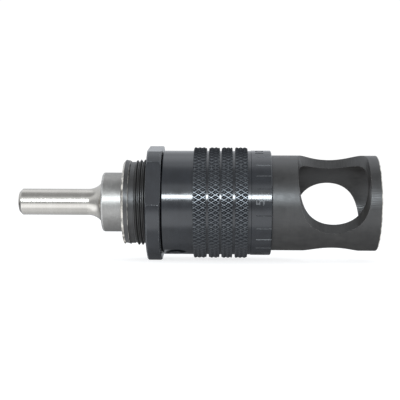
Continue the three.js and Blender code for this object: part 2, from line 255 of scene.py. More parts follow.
def makeFinish(name, look):
    made = bpy.data.materials.new(name)
    made.use_nodes = True
    tree = made.node_tree
    shader = tree.nodes["Principled BSDF"]
    shader.inputs["Metallic"].default_value = look["metallic"]
    shader.inputs["IOR"].default_value = look["ior"]
    tints = {key: (*look[key], 1) for key in ("color", "spot", "worn", "netSheen") if key in look}
    scales = {"Fine Scale": look["fine"], "Blotch Scale": look["blotch"]}
    grain = addNode(tree, "ShaderNodeGroup", scales, node_tree=surfaceGrain)
    lines = addNode(tree, "ShaderNodeGroup", {"Scale": look["lines"]}, node_tree=turningLines)
    wear = addNode(tree, "ShaderNodeGroup", {"Amount": look["wear"]}, node_tree=edgeWear)
    fineShare = 1 - look["lineShare"]
    texture = calc(tree, "MULTIPLY_ADD", lines.outputs["Line"], look["lineShare"],
                   calc(tree, "MULTIPLY", grain.outputs["Fine"], fineShare))
    spots = calc(tree, "MULTIPLY", texture, grain.outputs["Blotch"])
    color = mixed(tree, "RGBA", spots, tints["color"], tints["spot"])
    # painted sheen: a light colour and full metallic on the knurl's groove floors and tips stand in for the light
    # they catch
    if "netSheen" in look:
        netSheen = addNode(tree, "ShaderNodeGroup", {"Axis Height": axisZ}, node_tree=reliefNet)
        color = mixed(tree, "RGBA", netSheen.outputs["Mask"], color, tints["netSheen"])
        tree.links.new(netSheen.outputs["Mask"], shader.inputs["Metallic"])
    color = mixed(tree, "RGBA", wear.outputs["Mask"], color, tints["worn"])
    tree.links.new(color, shader.inputs["Base Color"])
    uneven = calc(tree, "MULTIPLY_ADD", grain.outputs["Blotch"], blotchInRough,
                  calc(tree, "MULTIPLY", texture, 1 - blotchInRough))
    rough = remap(tree, uneven, 0.0, 1.0, *look["rough"])
    tree.links.new(rough, shader.inputs["Roughness"])
    height = calc(tree, "MULTIPLY_ADD", lines.outputs["Height"], look["lineShare"],
                  calc(tree, "MULTIPLY", grain.outputs["Height"], fineShare))
    bump = addNode(tree, "ShaderNodeBump", {"Height": height, "Strength": look["bump"], "Distance": bumpDepth})
    if "netSheen" in look:
        tree.links.new(netSheen.outputs["Normal"], bump.inputs["Normal"])
    tree.links.new(bump.outputs["Normal"], shader.inputs["Normal"])
    return made


materials = {name: makeFinish(name, {**plainSteel, **look}) for name, look in finishes.items()}
print("materials:", len(materials))


smoothUpTo = 34  # degrees between faces, past which an edge stays sharp
facePull = 60  # how much a large face's direction counts beside a small one's


def newObject(name, mesh, *finishNames):
    made = bpy.data.objects.new(name, mesh)
    scene.collection.objects.link(made)
    if finishNames:
        mesh.materials.clear()
        for finishName in finishNames:
            mesh.materials.append(materials[finishName])
    return made


def openMesh(mesh, merge, shortest):
    # the mesh for editing, with points that lie closer than merge made one
    shape = bmesh.new()
    shape.from_mesh(mesh)
    bmesh.ops.remove_doubles(shape, verts=shape.verts, dist=merge * mm)
    bmesh.ops.dissolve_degenerate(shape, edges=shape.edges, dist=shortest * mm)
    return shape


def tidyMesh(mesh):
    shape = openMesh(mesh, 0.0005, 0.0001)
    bmesh.ops.recalc_face_normals(shape, faces=shape.faces)
    shape.to_mesh(mesh)
    shape.free()
    mesh.shade_smooth()
    mesh.set_sharp_from_angle(angle=math.radians(smoothUpTo))
    return mesh


def meshObject(name, spots, faces, *finishNames):
    mesh = bpy.data.meshes.new(name)
    mesh.from_pydata(spots, [], faces)
    return newObject(name, tidyMesh(mesh), *finishNames)


def finalMesh(obj):
    graph = bpy.context.evaluated_depsgraph_get()
    return bpy.data.meshes.new_from_object(obj.evaluated_get(graph), depsgraph=graph)


def evaluated(obj):
    # the object with its modifiers made real
    mesh = finalMesh(obj)
    obj.modifiers.clear()
    old, obj.data = obj.data, mesh
    bpy.data.meshes.remove(old)
    return obj


def softened(profile, corner, steps=2, leastTurn=18):
    # rounds the corners of a closed outline of (back, radius, own rounding if it has one), and says which
    # sides are rubbed corners
    count = len(profile)
    area = sum(a[0] * b[1] - b[0] * a[1] for a, b in zip(profile, profile[1:] + profile[:1]))
    points, marks = [], []
    for i, spot in enumerate(profile):
        before, after = Vector(profile[i - 1][:2]), Vector(profile[(i + 1) % count][:2])
        here = Vector(spot[:2])
        own = spot[2] if len(spot) > 2 else corner
        into, out = here - before, after - here
        turn = math.degrees(into.angle(out)) if into.length and out.length else 0
        if turn < leastTurn or here.y < 1e-6 or not own:
            points.append(tuple(here))
            marks.append(0.0)
            continue
        cut = min(own * math.tan(math.radians(min(turn, 150)) / 2), 0.4 * into.length, 0.4 * out.length)
        first, last = here - into.normalized() * cut, here + out.normalized() * cut
        outside = (into.x * out.y - into.y * out.x) * area > 0
        for k in range(steps + 1):
            t = k / steps
            points.append(tuple(first * (1 - t) ** 2 + here * 2 * t * (1 - t) + last * t ** 2))
            marks.append(1.0 if outside and k < steps else 0.0)
    return points, marks


def turned(name, profile, finishName, sides=128, corner=0.1, gap=None, steps=2, diagonal=None, unclosed=False):
    # a solid of revolution; gap is (clock, degrees left open), diagonal picks how a cell is split, and an
    # unclosed one has no side from its last point back to its first
    points, marks = softened(profile, corner, steps) if corner else (profile, [0.0] * len(profile))
    start, sweep = (0, 360) if gap is None else (gap[0] + gap[1] / 2, 360 - gap[1])
    columns = sides if gap is None else sides + 1
    spots = [place(back, radius, start + sweep * i / sides) for back, radius in points for i in range(columns)]
    faces, edge = [], []
    onAxis = points[0][1] < 1e-6 and points[-1][1] < 1e-6
    for row in range(len(points) - (onAxis or unclosed)):
        under = (row + 1) % len(points)
        for i in range(sides):
            j = (i + 1) % columns
            a, b, c, d = row * columns + i, row * columns + j, under * columns + j, under * columns + i
            way = diagonal(i, points[row], points[under]) if diagonal else None
            cells = {None: [(a, b, c, d)], True: [(a, b, d), (b, c, d)], False: [(a, b, c), (a, c, d)]}[way]
            faces += cells
            edge += [marks[row]] * len(cells)
    if gap is not None:
        faces += [tuple(r * columns for r in range(len(points))),
                  tuple(r * columns + sides for r in reversed(range(len(points))))]
        edge += [0.0, 0.0]
    mesh = bpy.data.meshes.new(name)
    mesh.from_pydata(spots, [], faces)
    mesh.attributes.new("edge", "FLOAT", "FACE").data.foreach_set("value", edge)
    return newObject(name, tidyMesh(mesh), finishName)


def carve(obj, cutters, operation="DIFFERENCE", solver="MANIFOLD"):
    for cutter in cutters:
        if not cutter.data.materials:
            cutter.data.materials.append(obj.data.materials[0])
        change = obj.modifiers.new("carve", "BOOLEAN")
        change.operation = operation
        change.solver = solver
        change.object = cutter
        if solver == "EXACT":
            change.material_mode = "TRANSFER"
    evaluated(obj)
    for cutter in cutters:
        bpy.data.objects.remove(cutter)
    return obj


def breakEdges(obj, width, least, chosen=lambda edge: True):
    # a small rounded break along the sharp outside edges, marked as rubbed
    shape = openMesh(obj.data, 0.004, 0.001)
    layer = shape.faces.layers.float.get("edge") or shape.faces.layers.float.new("edge")
    sharp = [e for e in shape.edges if len(e.link_faces) == 2 and e.is_convex
             and e.calc_face_angle(0) > math.radians(least) and chosen(e)]
    made = bmesh.ops.bevel(shape, geom=sharp, offset=width * mm, offset_type="OFFSET", segments=2,
                           profile=0.5, affect="EDGES", clamp_overlap=True, material=-1)
    for face in made["faces"]:
        face[layer] = 1.0
    shape.to_mesh(obj.data)
    shape.free()
    tidyMesh(obj.data)
    return obj


def block(name, clock, backs, radii, width):
    # a box at a clock angle between two backs and two radii
    across = place(0, 1, clock + 90) - place(0, 0, 0)
    corners = [place(b, r, clock) + across * width / 2 * side for b in backs for r in radii for side in (-1, 1)]
    faces = [(0, 1, 3, 2), (4, 6, 7, 5), (0, 4, 5, 1), (2, 3, 7, 6), (0, 2, 6, 4), (1, 5, 7, 3)]
    return meshObject(name, corners, faces)


def roundBar(name, start, end, rings, sides=48, *finishNames):
    # a bar from one point to another; rings are (share of the way, radius)
    along = (end - start).normalized()
    side = along.orthogonal().normalized()
    other = along.cross(side)
    spots, faces = [], []
    for share, radius in rings:
        middle = start.lerp(end, share)
        for i in range(sides):
            a = 2 * math.pi * i / sides
            spots.append(middle + (side * math.cos(a) + other * math.sin(a)) * radius * mm)
    for row in range(len(rings) - 1):
        for i in range(sides):
            j = (i + 1) % sides
            faces.append((row * sides + i, row * sides + j, (row + 1) * sides + j, (row + 1) * sides + i))
    faces += [tuple(range(sides)), tuple((len(rings) - 1) * sides + i for i in reversed(range(sides)))]
    return meshObject(name, spots, faces, *finishNames)


def evenNormals(obj):
    # large faces keep their own direction beside a small rounded corner
    change = obj.modifiers.new("evenNormals", "WEIGHTED_NORMAL")
    change.keep_sharp = True
    change.weight = facePull
    return evaluated(obj)


def finish(obj, *nodes):
    # the piece stands for these frame nodes: it rides on their body, and the nodes are hidden
    evenNormals(obj)
    for i in reversed(range(len(obj.data.materials))):
        if obj.data.materials[i] is None:
            obj.data.materials.pop(index=i)
    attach(obj, bodyOf[nodes[0]])
    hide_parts(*nodes)
    return obj


def geometryTree(name, inputs):
    tree = bpy.data.node_groups.new(name, "GeometryNodeTree")
    tree.is_modifier = True
    addSocket(tree, "Geometry", "INPUT", "Geometry")
    addSocket(tree, "Geometry", "OUTPUT", "Geometry")
    for label, value in inputs.items():
        addSocket(tree, label, "INPUT", "Float", value)
    addSocket(tree, "Material", "INPUT", "Material")
    return tree, tree.nodes.new("NodeGroupInput").outputs, tree.nodes.new("NodeGroupOutput")


def closeTree(tree, geometry, given, out, where=None):
    real = addNode(tree, "GeometryNodeRealizeInstances", {"Geometry": geometry}).outputs[0]
    inputs = {"Geometry": real, "Material": given["Material"]}
    if where:
        inputs["Selection"] = where
    painted = addNode(tree, "GeometryNodeSetMaterial", inputs)
    tree.links.new(painted.outputs[0], out.inputs["Geometry"])
    return tree


def grow(obj, tree, finishName, **values):
    # runs a tree on an object with these inputs, and makes the result real
    change = obj.modifiers.new(tree.name, "NODES")
    change.node_group = tree
    values = {"Axis Height": axisZ, "Face X": faceX, "Material": materials[finishName], **values}
    for item in tree.interface.items_tree:
        if item.in_out == "INPUT" and item.name in values:
            change[item.identifier] = values[item.name]
    return evaluated(obj)


def polar(tree, axisHeight):
    # position as back (metres behind the face), radius and turn round the axis, with its Y and Z parts
    where = tree.nodes.new("GeometryNodeInputPosition").outputs[0]
    parts = addNode(tree, "ShaderNodeSeparateXYZ", {"Vector": where}).outputs
    up = calc(tree, "SUBTRACT", parts["Z"], axisHeight)
    side = parts["Y"]
    squares = calc(tree, "MULTIPLY_ADD", up, up, calc(tree, "MULTIPLY", side, side))
    radius = calc(tree, "SQRT", squares)
    turn = calc(tree, "DIVIDE", calc(tree, "ARCTAN2", up, calc(tree, "MULTIPLY", side, -1.0)), 2 * math.pi)
    return parts["X"], side, up, radius, turn


def pressTo(tree, geometry, given, x, side, up, radius, wanted):
    # moves points straight in to the wanted radius, never out
    share = calc(tree, "DIVIDE", calc(tree, "MINIMUM", radius, wanted), radius)
    height = calc(tree, "MULTIPLY_ADD", up, share, given["Axis Height"])
    inputs = {"X": x, "Y": calc(tree, "MULTIPLY", side, share), "Z": height}
    where = addNode(tree, "ShaderNodeCombineXYZ", inputs).outputs[0]
    return addNode(tree, "GeometryNodeSetPosition", {"Geometry": geometry, "Position": where}).outputs[0]


def makeKnurlTree():
    # a diamond knurl: two families of grooves cross at the same slant
    tree, given, out = geometryTree("pressKnurl", {
        "Axis Height": 0.01, "Face X": 0.0, "Teeth": 70.0, "Pitch": 0.002, "Shift": 0.0, "Band Radius": 0.0127,
        "Floor Radius": 0.0129, "Tip Radius": 0.0134, "Floor Share": 0.05, "Tip Share": 0.45})
    x, side, up, radius, turn = polar(tree, given["Axis Height"])
    around = calc(tree, "MULTIPLY", turn, given["Teeth"])
    behind = calc(tree, "SUBTRACT", calc(tree, "SUBTRACT", given["Face X"], x), given["Shift"])
    along = calc(tree, "DIVIDE", behind, given["Pitch"])
    ways = [calc(tree, "PINGPONG", calc(tree, sign, around, along), 0.5) for sign in ("ADD", "SUBTRACT")]
    height = calc(tree, "MINIMUM", *ways)
    onBand = calc(tree, "GREATER_THAN", radius, given["Band Radius"])
    relief = calc(tree, "ADD", calc(tree, "MULTIPLY", height, onBand),
                  calc(tree, "MULTIPLY", calc(tree, "SUBTRACT", 1.0, onBand), 0.25))
    kept = addNode(tree, "GeometryNodeStoreNamedAttribute",
                   {"Geometry": given["Geometry"], "Name": "relief", "Value": relief}, data_type="FLOAT").outputs[0]
    wanted = remap(tree, height, given["Floor Share"], given["Tip Share"], given["Floor Radius"], given["Tip Radius"])
    pressed = pressTo(tree, kept, given, x, side, up, radius, wanted)
    return closeTree(tree, pressed, given, out, calc(tree, "GREATER_THAN", radius, given["Band Radius"]))


def makeThreadTree():
    # a right-hand thread: flat crest, straight flanks, narrow flat root
    tree, given, out = geometryTree("cutThread", {
        "Axis Height": 0.01, "Face X": 0.0, "Pitch": 0.0009, "Crest Radius": 0.0103, "Root Radius": 0.0097,
        "Crest Share": 0.06, "Flank Share": 0.36})
    x, side, up, radius, turn = polar(tree, given["Axis Height"])
    along = calc(tree, "DIVIDE", calc(tree, "SUBTRACT", given["Face X"], x), given["Pitch"])
    away = calc(tree, "PINGPONG", calc(tree, "SUBTRACT", along, turn), 0.5)
    root = calc(tree, "ADD", given["Crest Share"], given["Flank Share"])
    wanted = remap(tree, away, given["Crest Share"], root, given["Crest Radius"], given["Root Radius"])
    pressed = pressTo(tree, given["Geometry"], given, x, side, up, radius, wanted)
    return closeTree(tree, pressed, given, out)


def makeCoilTree():
    # a compression spring with one closed turn at each end
    tree, given, out = geometryTree("windSpring", {
        "Axis Height": 0.01, "Start X": 0.0, "Wire Radius": 0.0006, "Coil Radius": 0.007, "Turns": 5.5,
        "Open Step": 0.003, "Closed Step": 0.0012, "Points Per Turn": 48.0, "Wire Sides": 14.0})
    count = calc(tree, "MULTIPLY", given["Turns"], given["Points Per Turn"])
    line = addNode(tree, "GeometryNodeCurvePrimitiveLine").outputs[0]
    points = addNode(tree, "GeometryNodeResampleCurve", {"Curve": line, "Count": count}).outputs[0]
    share = tree.nodes.new("GeometryNodeSplineParameter").outputs["Factor"]
    turn = calc(tree, "MULTIPLY", share, given["Turns"])
    openTurns = calc(tree, "MINIMUM", calc(tree, "MAXIMUM", calc(tree, "SUBTRACT", turn, 1.0), 0.0),
                     calc(tree, "SUBTRACT", given["Turns"], 2.0))
    closedTurns = calc(tree, "SUBTRACT", turn, openTurns)
    advance = calc(tree, "MULTIPLY_ADD", openTurns, given["Open Step"],
                   calc(tree, "MULTIPLY", closedTurns, given["Closed Step"]))
    angle = calc(tree, "MULTIPLY", turn, 2 * math.pi)
    y = calc(tree, "MULTIPLY", calc(tree, "COSINE", angle), given["Coil Radius"])
    z = calc(tree, "MULTIPLY_ADD", calc(tree, "SINE", angle), given["Coil Radius"], given["Axis Height"])
    where = addNode(tree, "ShaderNodeCombineXYZ",
                    {"X": calc(tree, "SUBTRACT", given["Start X"], advance), "Y": y, "Z": z}).outputs[0]
    helix = addNode(tree, "GeometryNodeSetPosition", {"Geometry": points, "Position": where}).outputs[0]
    ring = addNode(tree, "GeometryNodeCurvePrimitiveCircle",
                   {"Resolution": given["Wire Sides"], "Radius": given["Wire Radius"]}).outputs[0]
    wire = addNode(tree, "GeometryNodeCurveToMesh", {"Curve": helix, "Profile Curve": ring, "Fill Caps": True})
    return closeTree(tree, wire.outputs[0], given, out)


def makeBallTree():
    # balls evenly round the tool axis
    tree, given, out = geometryTree("setBalls", {
        "Axis Height": 0.01, "Middle X": 0.0, "Pitch Radius": 0.0055, "Ball Radius": 0.0012, "Balls": 8.0})
    circle = addNode(tree, "GeometryNodeMeshCircle",
                     {"Vertices": given["Balls"], "Radius": given["Pitch Radius"]}).outputs[0]
    ball = addNode(tree, "GeometryNodeMeshIcoSphere", {"Radius": given["Ball Radius"], "Subdivisions": 4})
    spread = addNode(tree, "GeometryNodeInstanceOnPoints",
                     {"Points": circle, "Instance": ball.outputs[0]}).outputs[0]
    middle = addNode(tree, "ShaderNodeCombineXYZ", {"X": given["Middle X"], "Z": given["Axis Height"]}).outputs[0]
    upright = addNode(tree, "GeometryNodeTransform",
                      {"Geometry": spread, "Translation": middle, "Rotation": (0, math.pi / 2, 0)}).outputs[0]
    return closeTree(tree, upright, given, out)


knurlTree, threadTree, coilTree, ballTree = makeKnurlTree(), makeThreadTree(), makeCoilTree(), makeBallTree()


def emptyObject(name):
    return newObject(name, bpy.data.meshes.new(name))


foot = {"r": 11.45, "boreR": 8.9, "spigotR": 10.8, "spigotFrom": 31.4, "guideR": 9.65, "web": (19.8, 21.4),
        "webHoleR": 5.5, "sides": 240, "rimBreak": 0.13}
window = {"back": 10.9, "cutterR": 8.35, "offset": 11.2, "clocks": (37, 217)}
guidePin = {"r": 1.0, "back": 33.0, "clocks": (90, 270), "radii": (8.35, 10.55), "slot": (-7.2, 1.2),
            "slotWidth": 2.4, "holeRadii": (7, 11), "holeGap": 0.05}
onWindowWithin = 0.03  # millimetres from the cutter's surface


def windowCutter(clock):
    out = place(window["back"], window["offset"], clock)
    across = (place(0, 1, clock + 90) - place(0, 0, 0)) * 2 * foot["r"]
    return roundBar("windowCutter", out - across, out + across, [(0, window["cutterR"]), (1, window["cutterR"])], 180)


def onWindow(edge):
    for vert in edge.verts:
        fits = []
        for clock in window["clocks"]:
            out = (place(0, 1, clock) - place(0, 0, 0)) / mm
            reach = (vert.co - place(0, 0, 0)).dot(out) / mm
            back = (faceX - vert.co.x) / mm
            fits.append(abs(math.hypot(back - window["back"], reach - window["offset"]) - window["cutterR"]))
        if min(fits) > onWindowWithin:
            return False
    return True


def makeFoot():
    front, back = span("foot_piece")
    web, r, bore = foot["web"], foot["r"], foot["boreR"]
    profile = [
        (front, bore + 0.25), (front, r), (foot["spigotFrom"], r), (foot["spigotFrom"] + 0.25, foot["spigotR"]),
        (back, foot["spigotR"]), (back, foot["guideR"]), (web[1], foot["guideR"]), (web[1], foot["webHoleR"]),
        (web[0], foot["webHoleR"]), (web[0], bore), (front + 0.25, bore)]
    made = turned("foot_skirt", profile, "blackSatin", foot["sides"], corner=0.22, steps=3)
    slotBacks = [guidePin["back"] + reach for reach in guidePin["slot"]]
    slots = [block("pinSlot", clock, slotBacks, (foot["guideR"] - 1, r + 1), guidePin["slotWidth"])
             for clock in guidePin["clocks"]]
    carve(made, [windowCutter(clock) for clock in window["clocks"]] + slots)
    breakEdges(made, foot["rimBreak"], 30, onWindow)
    return finish(made, "foot_piece")


makeFoot()
print("foot made")


sleeve = {
    "scaleR": 12.6, "plainR": 12.5, "knurlR": 13.35, "knurlFloorR": 12.95, "boreR": 11.65, "shoulder": 44.9,
    "threadR": 10.45, "clipGroove": (42.8, 43.55, 11.95), "washerRecess": (50.3, 11.9), "scaleEnd": 30.1,
    "bands": [(30.9, 33.9), (34.45, 37.1), (37.5, 40.1), (40.6, 43.7)], "chamfer": 0.2,
    "teeth": 70, "pitch": 1.953, "shift": 0.328, "stepsPerDiamond": 8, "floorShare": 0.06, "tipShare": 0.44,
    "frontRim": [(0, 0.3), (0.08, 0.12), (0.25, 0)], "backRim": [(0.3, 0), (0.08, 0.1), (0, 0.3)]}
scale = {"divisions": 25, "zeroClock": -71.6, "lineWidth": 0.25, "lineDepth": 0.13, "lineEnd": 29.0,
         "shortEnd": 27.1, "figureHeight": 2.0, "figureWiden": 1.35, "figureBack": 27.25, "figureDepth": 0.16,
         "figureWeight": 0.03, "figureEvery": 5}
spanner = {"clock": -74, "back": 47.6, "r": 2.2, "floorR": 11.0, "rim": 0.45}


def bandRows(front, back):
    # the outline of one knurled band: steep chamfers, and rows that meet the knurl's crossings
    step = sleeve["pitch"] / sleeve["stepsPerDiamond"]
    plain, top, run = sleeve["plainR"], sleeve["knurlR"], sleeve["chamfer"]
    rise = top - plain
    rows = [(front, plain), (front + run * 0.2, plain + rise * 0.7), (front + run, top)]
    start, end = front + run + 0.08 - sleeve["shift"], back - run - 0.08 - sleeve["shift"]
    rows += [(k * step + sleeve["shift"], top) for k in range(math.ceil(start / step), math.floor(end / step) + 1)]
    return rows + [(back - run, top), (back - run * 0.2, plain + rise * 0.7), (back, plain)]


def knurlDiagonal(column, one, other):
    # splits a cell along the groove family that is nearer
    if min(one[1], other[1]) < sleeve["plainR"] + 0.2 or abs(one[0] - other[0]) > 0.4:
        return None
    around = (column + 0.5) / sleeve["stepsPerDiamond"]
    along = ((one[0] + other[0]) / 2 - sleeve["shift"]) / sleeve["pitch"]
    away = [abs((around + way * along + 0.5) % 1 - 0.5) for way in (1, -1)]
    return away[0] < away[1]


def figure(text, clock):
    # a number bent round the scale, its top towards the shank
    curve = bpy.data.curves.new("figure", "FONT")
    curve.body = text
    curve.size = scale["figureHeight"] / 0.73
    curve.align_x = "CENTER"
    curve.extrude = 1.0
    curve.resolution_u = 6
    curve.offset = scale["figureWeight"]
    shown = bpy.data.objects.new("figure", curve)
    scene.collection.objects.link(shown)
    bpy.context.view_layer.update()
    mesh = finalMesh(shown)
    bpy.data.objects.remove(shown)
    floor = sleeve["scaleR"] - scale["figureDepth"]
    for vert in mesh.vertices:
        x, y, z = vert.co
        turn = math.degrees(x * scale["figureWiden"] / sleeve["scaleR"])
        vert.co = place(scale["figureBack"] + y, floor if z < 0 else sleeve["scaleR"] + 0.3, clock + turn)
    return newObject("figure", tidyMesh(mesh), "engravedMark")


def scaleLine(clock, end):
    # a V-shaped engraved line that runs out at the front edge
    half = math.degrees(scale["lineWidth"] / 2 / sleeve["scaleR"])
    top, floor = sleeve["scaleR"] + 0.1, sleeve["scaleR"] - scale["lineDepth"]
    wide = half * (1 + 0.1 / scale["lineDepth"])
    backs = (span("micrometer_sleeve")[0] - 0.3, end)
    spots = [place(b, *at) for b in backs for at in ((floor, clock), (top, clock - wide), (top, clock + wide))]
    faces = [(0, 1, 2), (3, 5, 4), (0, 3, 4, 1), (1, 4, 5, 2), (2, 5, 3, 0)]
    return meshObject("scaleLine", spots, faces, "engravedMark")


def joined(name, objects):
    shape = bmesh.new()
    for obj in objects:
        shape.from_mesh(obj.data)
    mesh = bpy.data.meshes.new(name)
    shape.to_mesh(mesh)
    shape.free()
    mesh.materials.append(objects[0].data.materials[0])
    for obj in objects:
        bpy.data.objects.remove(obj)
    return newObject(name, mesh)


def makeSleeve():
    front, back = span("micrometer_sleeve")
    scaleR, plain, bore = sleeve["scaleR"], sleeve["plainR"], sleeve["boreR"]
    grooveFront, grooveBack, grooveR = sleeve["clipGroove"]
    recess, recessR = sleeve["washerRecess"]
    shoulder, threadR = sleeve["shoulder"], sleeve["threadR"]
    outside = [(front + run, scaleR - drop) for run, drop in sleeve["frontRim"]]
    outside += [(sleeve["scaleEnd"] - 0.02, scaleR), (sleeve["scaleEnd"] + 0.06, plain)]
    for band in sleeve["bands"]:
        outside += bandRows(*band)
    outside += [(back - run, plain - drop) for run, drop in sleeve["backRim"]]
    inside = [(back, recessR), (recess, recessR), (recess, threadR), (shoulder, threadR), (shoulder, bore),
              (grooveBack, bore), (grooveBack, grooveR), (grooveFront, grooveR), (grooveFront, bore),
              (front + 0.15, bore), (front, bore + 0.15)]
    sides = sleeve["teeth"] * sleeve["stepsPerDiamond"]
    made = turned("knurled_sleeve", outside + inside, "blackPolished", sides, corner=0, diagonal=knurlDiagonal)
    cutters = []
    for i in range(scale["divisions"]):
        clock = scale["zeroClock"] + i * 360 / scale["divisions"]
        numbered = i % scale["figureEvery"] == 0
        cutters.append(scaleLine(clock, scale["shortEnd"] if numbered else scale["lineEnd"]))
        if numbered:
            cutters.append(figure(str(i), clock))
    hole = [place(spanner["back"], r, spanner["clock"]) for r in (spanner["floorR"], sleeve["knurlR"] + 1)]
    length = sleeve["knurlR"] + 1 - spanner["floorR"]
    flare = (plain - spanner["rim"] - spanner["floorR"]) / length
    rings = [(0, spanner["r"] - 0.15), (0.05, spanner["r"]), (flare, spanner["r"]),
             (1, spanner["r"] + spanner["rim"] + 1)]
    carve(made, [joined("engraving", cutters)], solver="EXACT")
    carve(made, [roundBar("spannerDrill", *hole, rings, 64)])
    grow(made, knurlTree, "knurledBlack", **{
        "Teeth": sleeve["teeth"], "Pitch": sleeve["pitch"] * mm, "Shift": sleeve["shift"] * mm,
        "Band Radius": (scaleR + 0.1) * mm, "Floor Radius": sleeve["knurlFloorR"] * mm,
        "Tip Radius": sleeve["knurlR"] * mm, "Floor Share": sleeve["floorShare"], "Tip Share": sleeve["tipShare"]})
    made.data.set_sharp_from_angle(angle=math.radians(smoothUpTo))
    return finish(made, "micrometer_sleeve")


makeSleeve()
print("sleeve made")


nut = {"r": 14.1, "flatR": 13.05, "flatClocks": (19.5, 80, 199.5, 260), "chamfer": 0.3, "boreR": 10.45,
       "edgeBreak": 0.08}


def makeNut():
    front, back = span("lock_nut")
    r, bore, chamfer = nut["r"], nut["boreR"], nut["chamfer"]
    profile = [(front, r - chamfer), (front + chamfer, r), (back - chamfer, r), (back, r - chamfer),
               (back, bore + 0.4), (back - 0.4, bore), (front + 0.4, bore), (front, bore + 0.4)]
    made = turned("flatted_lock_nut", profile, "blackPolished", 240, corner=0)
    carve(made, [block("flat", clock, (front - 1, back + 1), (nut["flatR"], r + 2), 2 * r)
                 for clock in nut["flatClocks"]])
    breakEdges(made, nut["edgeBreak"], 15)
    return finish(made, "lock_nut")


makeNut()
print("nut made")


barrel = {"noseR": 9.45, "boreR": 8.2, "threadFront": 42.0, "threadBack": 57.8, "crestR": 10.32, "rootR": 9.75,
          "reliefR": 9.9, "flange": (58.9, 10.35), "seatR": 8.0, "rearWall": 58.85, "wallHoleR": 5.2,
          "seal": (59.6, 6.3), "clipGroove": (36.25, 37.15, 8.6), "sides": 144}
thread = {"pitch": 25.4 / 28, "crestShare": 0.06, "flankShare": 0.36}
keyway = {"clock": 180, "width": 3.2, "floorR": 9.2, "backs": (35.0, 57.4), "tabWidth": 2.7, "tabR": 9.4}


def threadSkin():
    # the thread's outside before it is cut, in rows that follow the helix and stop on the two end rings
    front, back, root, crest = (barrel[k] for k in ("threadFront", "threadBack", "rootR", "crestR"))
    sides, pitch = barrel["sides"], thread["pitch"]
    low, high = thread["crestShare"], thread["crestShare"] + thread["flankShare"]
    shares = [-low, low, high, 1 - high]
    turns = range(math.floor(front / pitch) - 2, math.ceil(back / pitch) + 2)
    starts = [pitch * (turn + share) for turn in turns for share in shares]
    spots, faces = [], []
    for start in starts:
        for i in range(sides):
            b = min(max(start + pitch * i / sides, front), back)
            spots.append(place(b, min(crest, root + b - front, root + back - b), 360 * i / sides))
    for row in range(len(starts) - 1 - len(shares)):
        for i in range(sides):
            over = (row + len(shares)) * sides if i == sides - 1 else row * sides + i + 1
            faces.append((row * sides + i, over, over + sides, (row + 1) * sides + i))
    return meshObject("threadSkin", spots, faces, "blackSatin")


def makeBarrel():
    front, back = span("threaded_body")
    nose, bore, seat = barrel["noseR"], barrel["boreR"], barrel["seatR"]
    grooveFront, grooveBack, grooveR = barrel["clipGroove"]
    flangeFront, flangeR = barrel["flange"]
    sealFront, sealR = barrel["seal"]
    profile = [
        (barrel["threadBack"], barrel["rootR"], 0), (barrel["threadBack"], barrel["reliefR"], 0),
        (flangeFront, barrel["reliefR"], 0.2), (flangeFront, flangeR), (back, flangeR, 0.5), (back, sealR),
        (sealFront, sealR), (sealFront, barrel["wallHoleR"]), (barrel["rearWall"], barrel["wallHoleR"]),
        (barrel["rearWall"], seat), (grooveBack, seat), (grooveBack, grooveR), (grooveFront, grooveR),
        (grooveFront, bore), (front, bore, 0.3), (front, nose, 0.3), (barrel["threadFront"], nose, 0.2),
        (barrel["threadFront"], barrel["rootR"], 0)]
    shell = turned("barrelShell", profile, "blackSatin", barrel["sides"], corner=0.08, unclosed=True)
    made = joined("threaded_barrel", [shell, threadSkin()])
    tidyMesh(made.data)
    grow(made, threadTree, "blackSatin", **{
        "Pitch": thread["pitch"] * mm, "Crest Radius": barrel["crestR"] * mm, "Root Radius": barrel["rootR"] * mm,
        "Crest Share": thread["crestShare"], "Flank Share": thread["flankShare"]})
    slot = block("keywaySlot", keyway["clock"], keyway["backs"], (keyway["floorR"], 12), keyway["width"])
    holeR = guidePin["r"] + guidePin["holeGap"]
    holes = [roundBar("pinHole", *[place(guidePin["back"], r, clock) for r in guidePin["holeRadii"]],
                      [(0, holeR), (1, holeR)]) for clock in guidePin["clocks"]]
    carve(made, [slot] + holes)
    made.data.set_sharp_from_angle(angle=math.radians(smoothUpTo))
    return finish(made, "threaded_body")


makeBarrel()
print("barrel made")


spindle = {"shankR": 3.175, "endChamfer": 0.75, "hubR": 7.15, "hub": (60.75, 65.7), "filletR": 4.29,
           "filletBack": 69.4, "bossR": 4.0, "journalR": 3.12, "tail": (30.0, 2.9), "sides": 160,
           "filletSteps": 20}
socket = {"outerR": 4.75, "step": (35.4, 4.1), "boreR": 2.8, "counterbore": (29.5, 3.05), "flats": (22.2, 26.0),
          "flatR": 4.1}


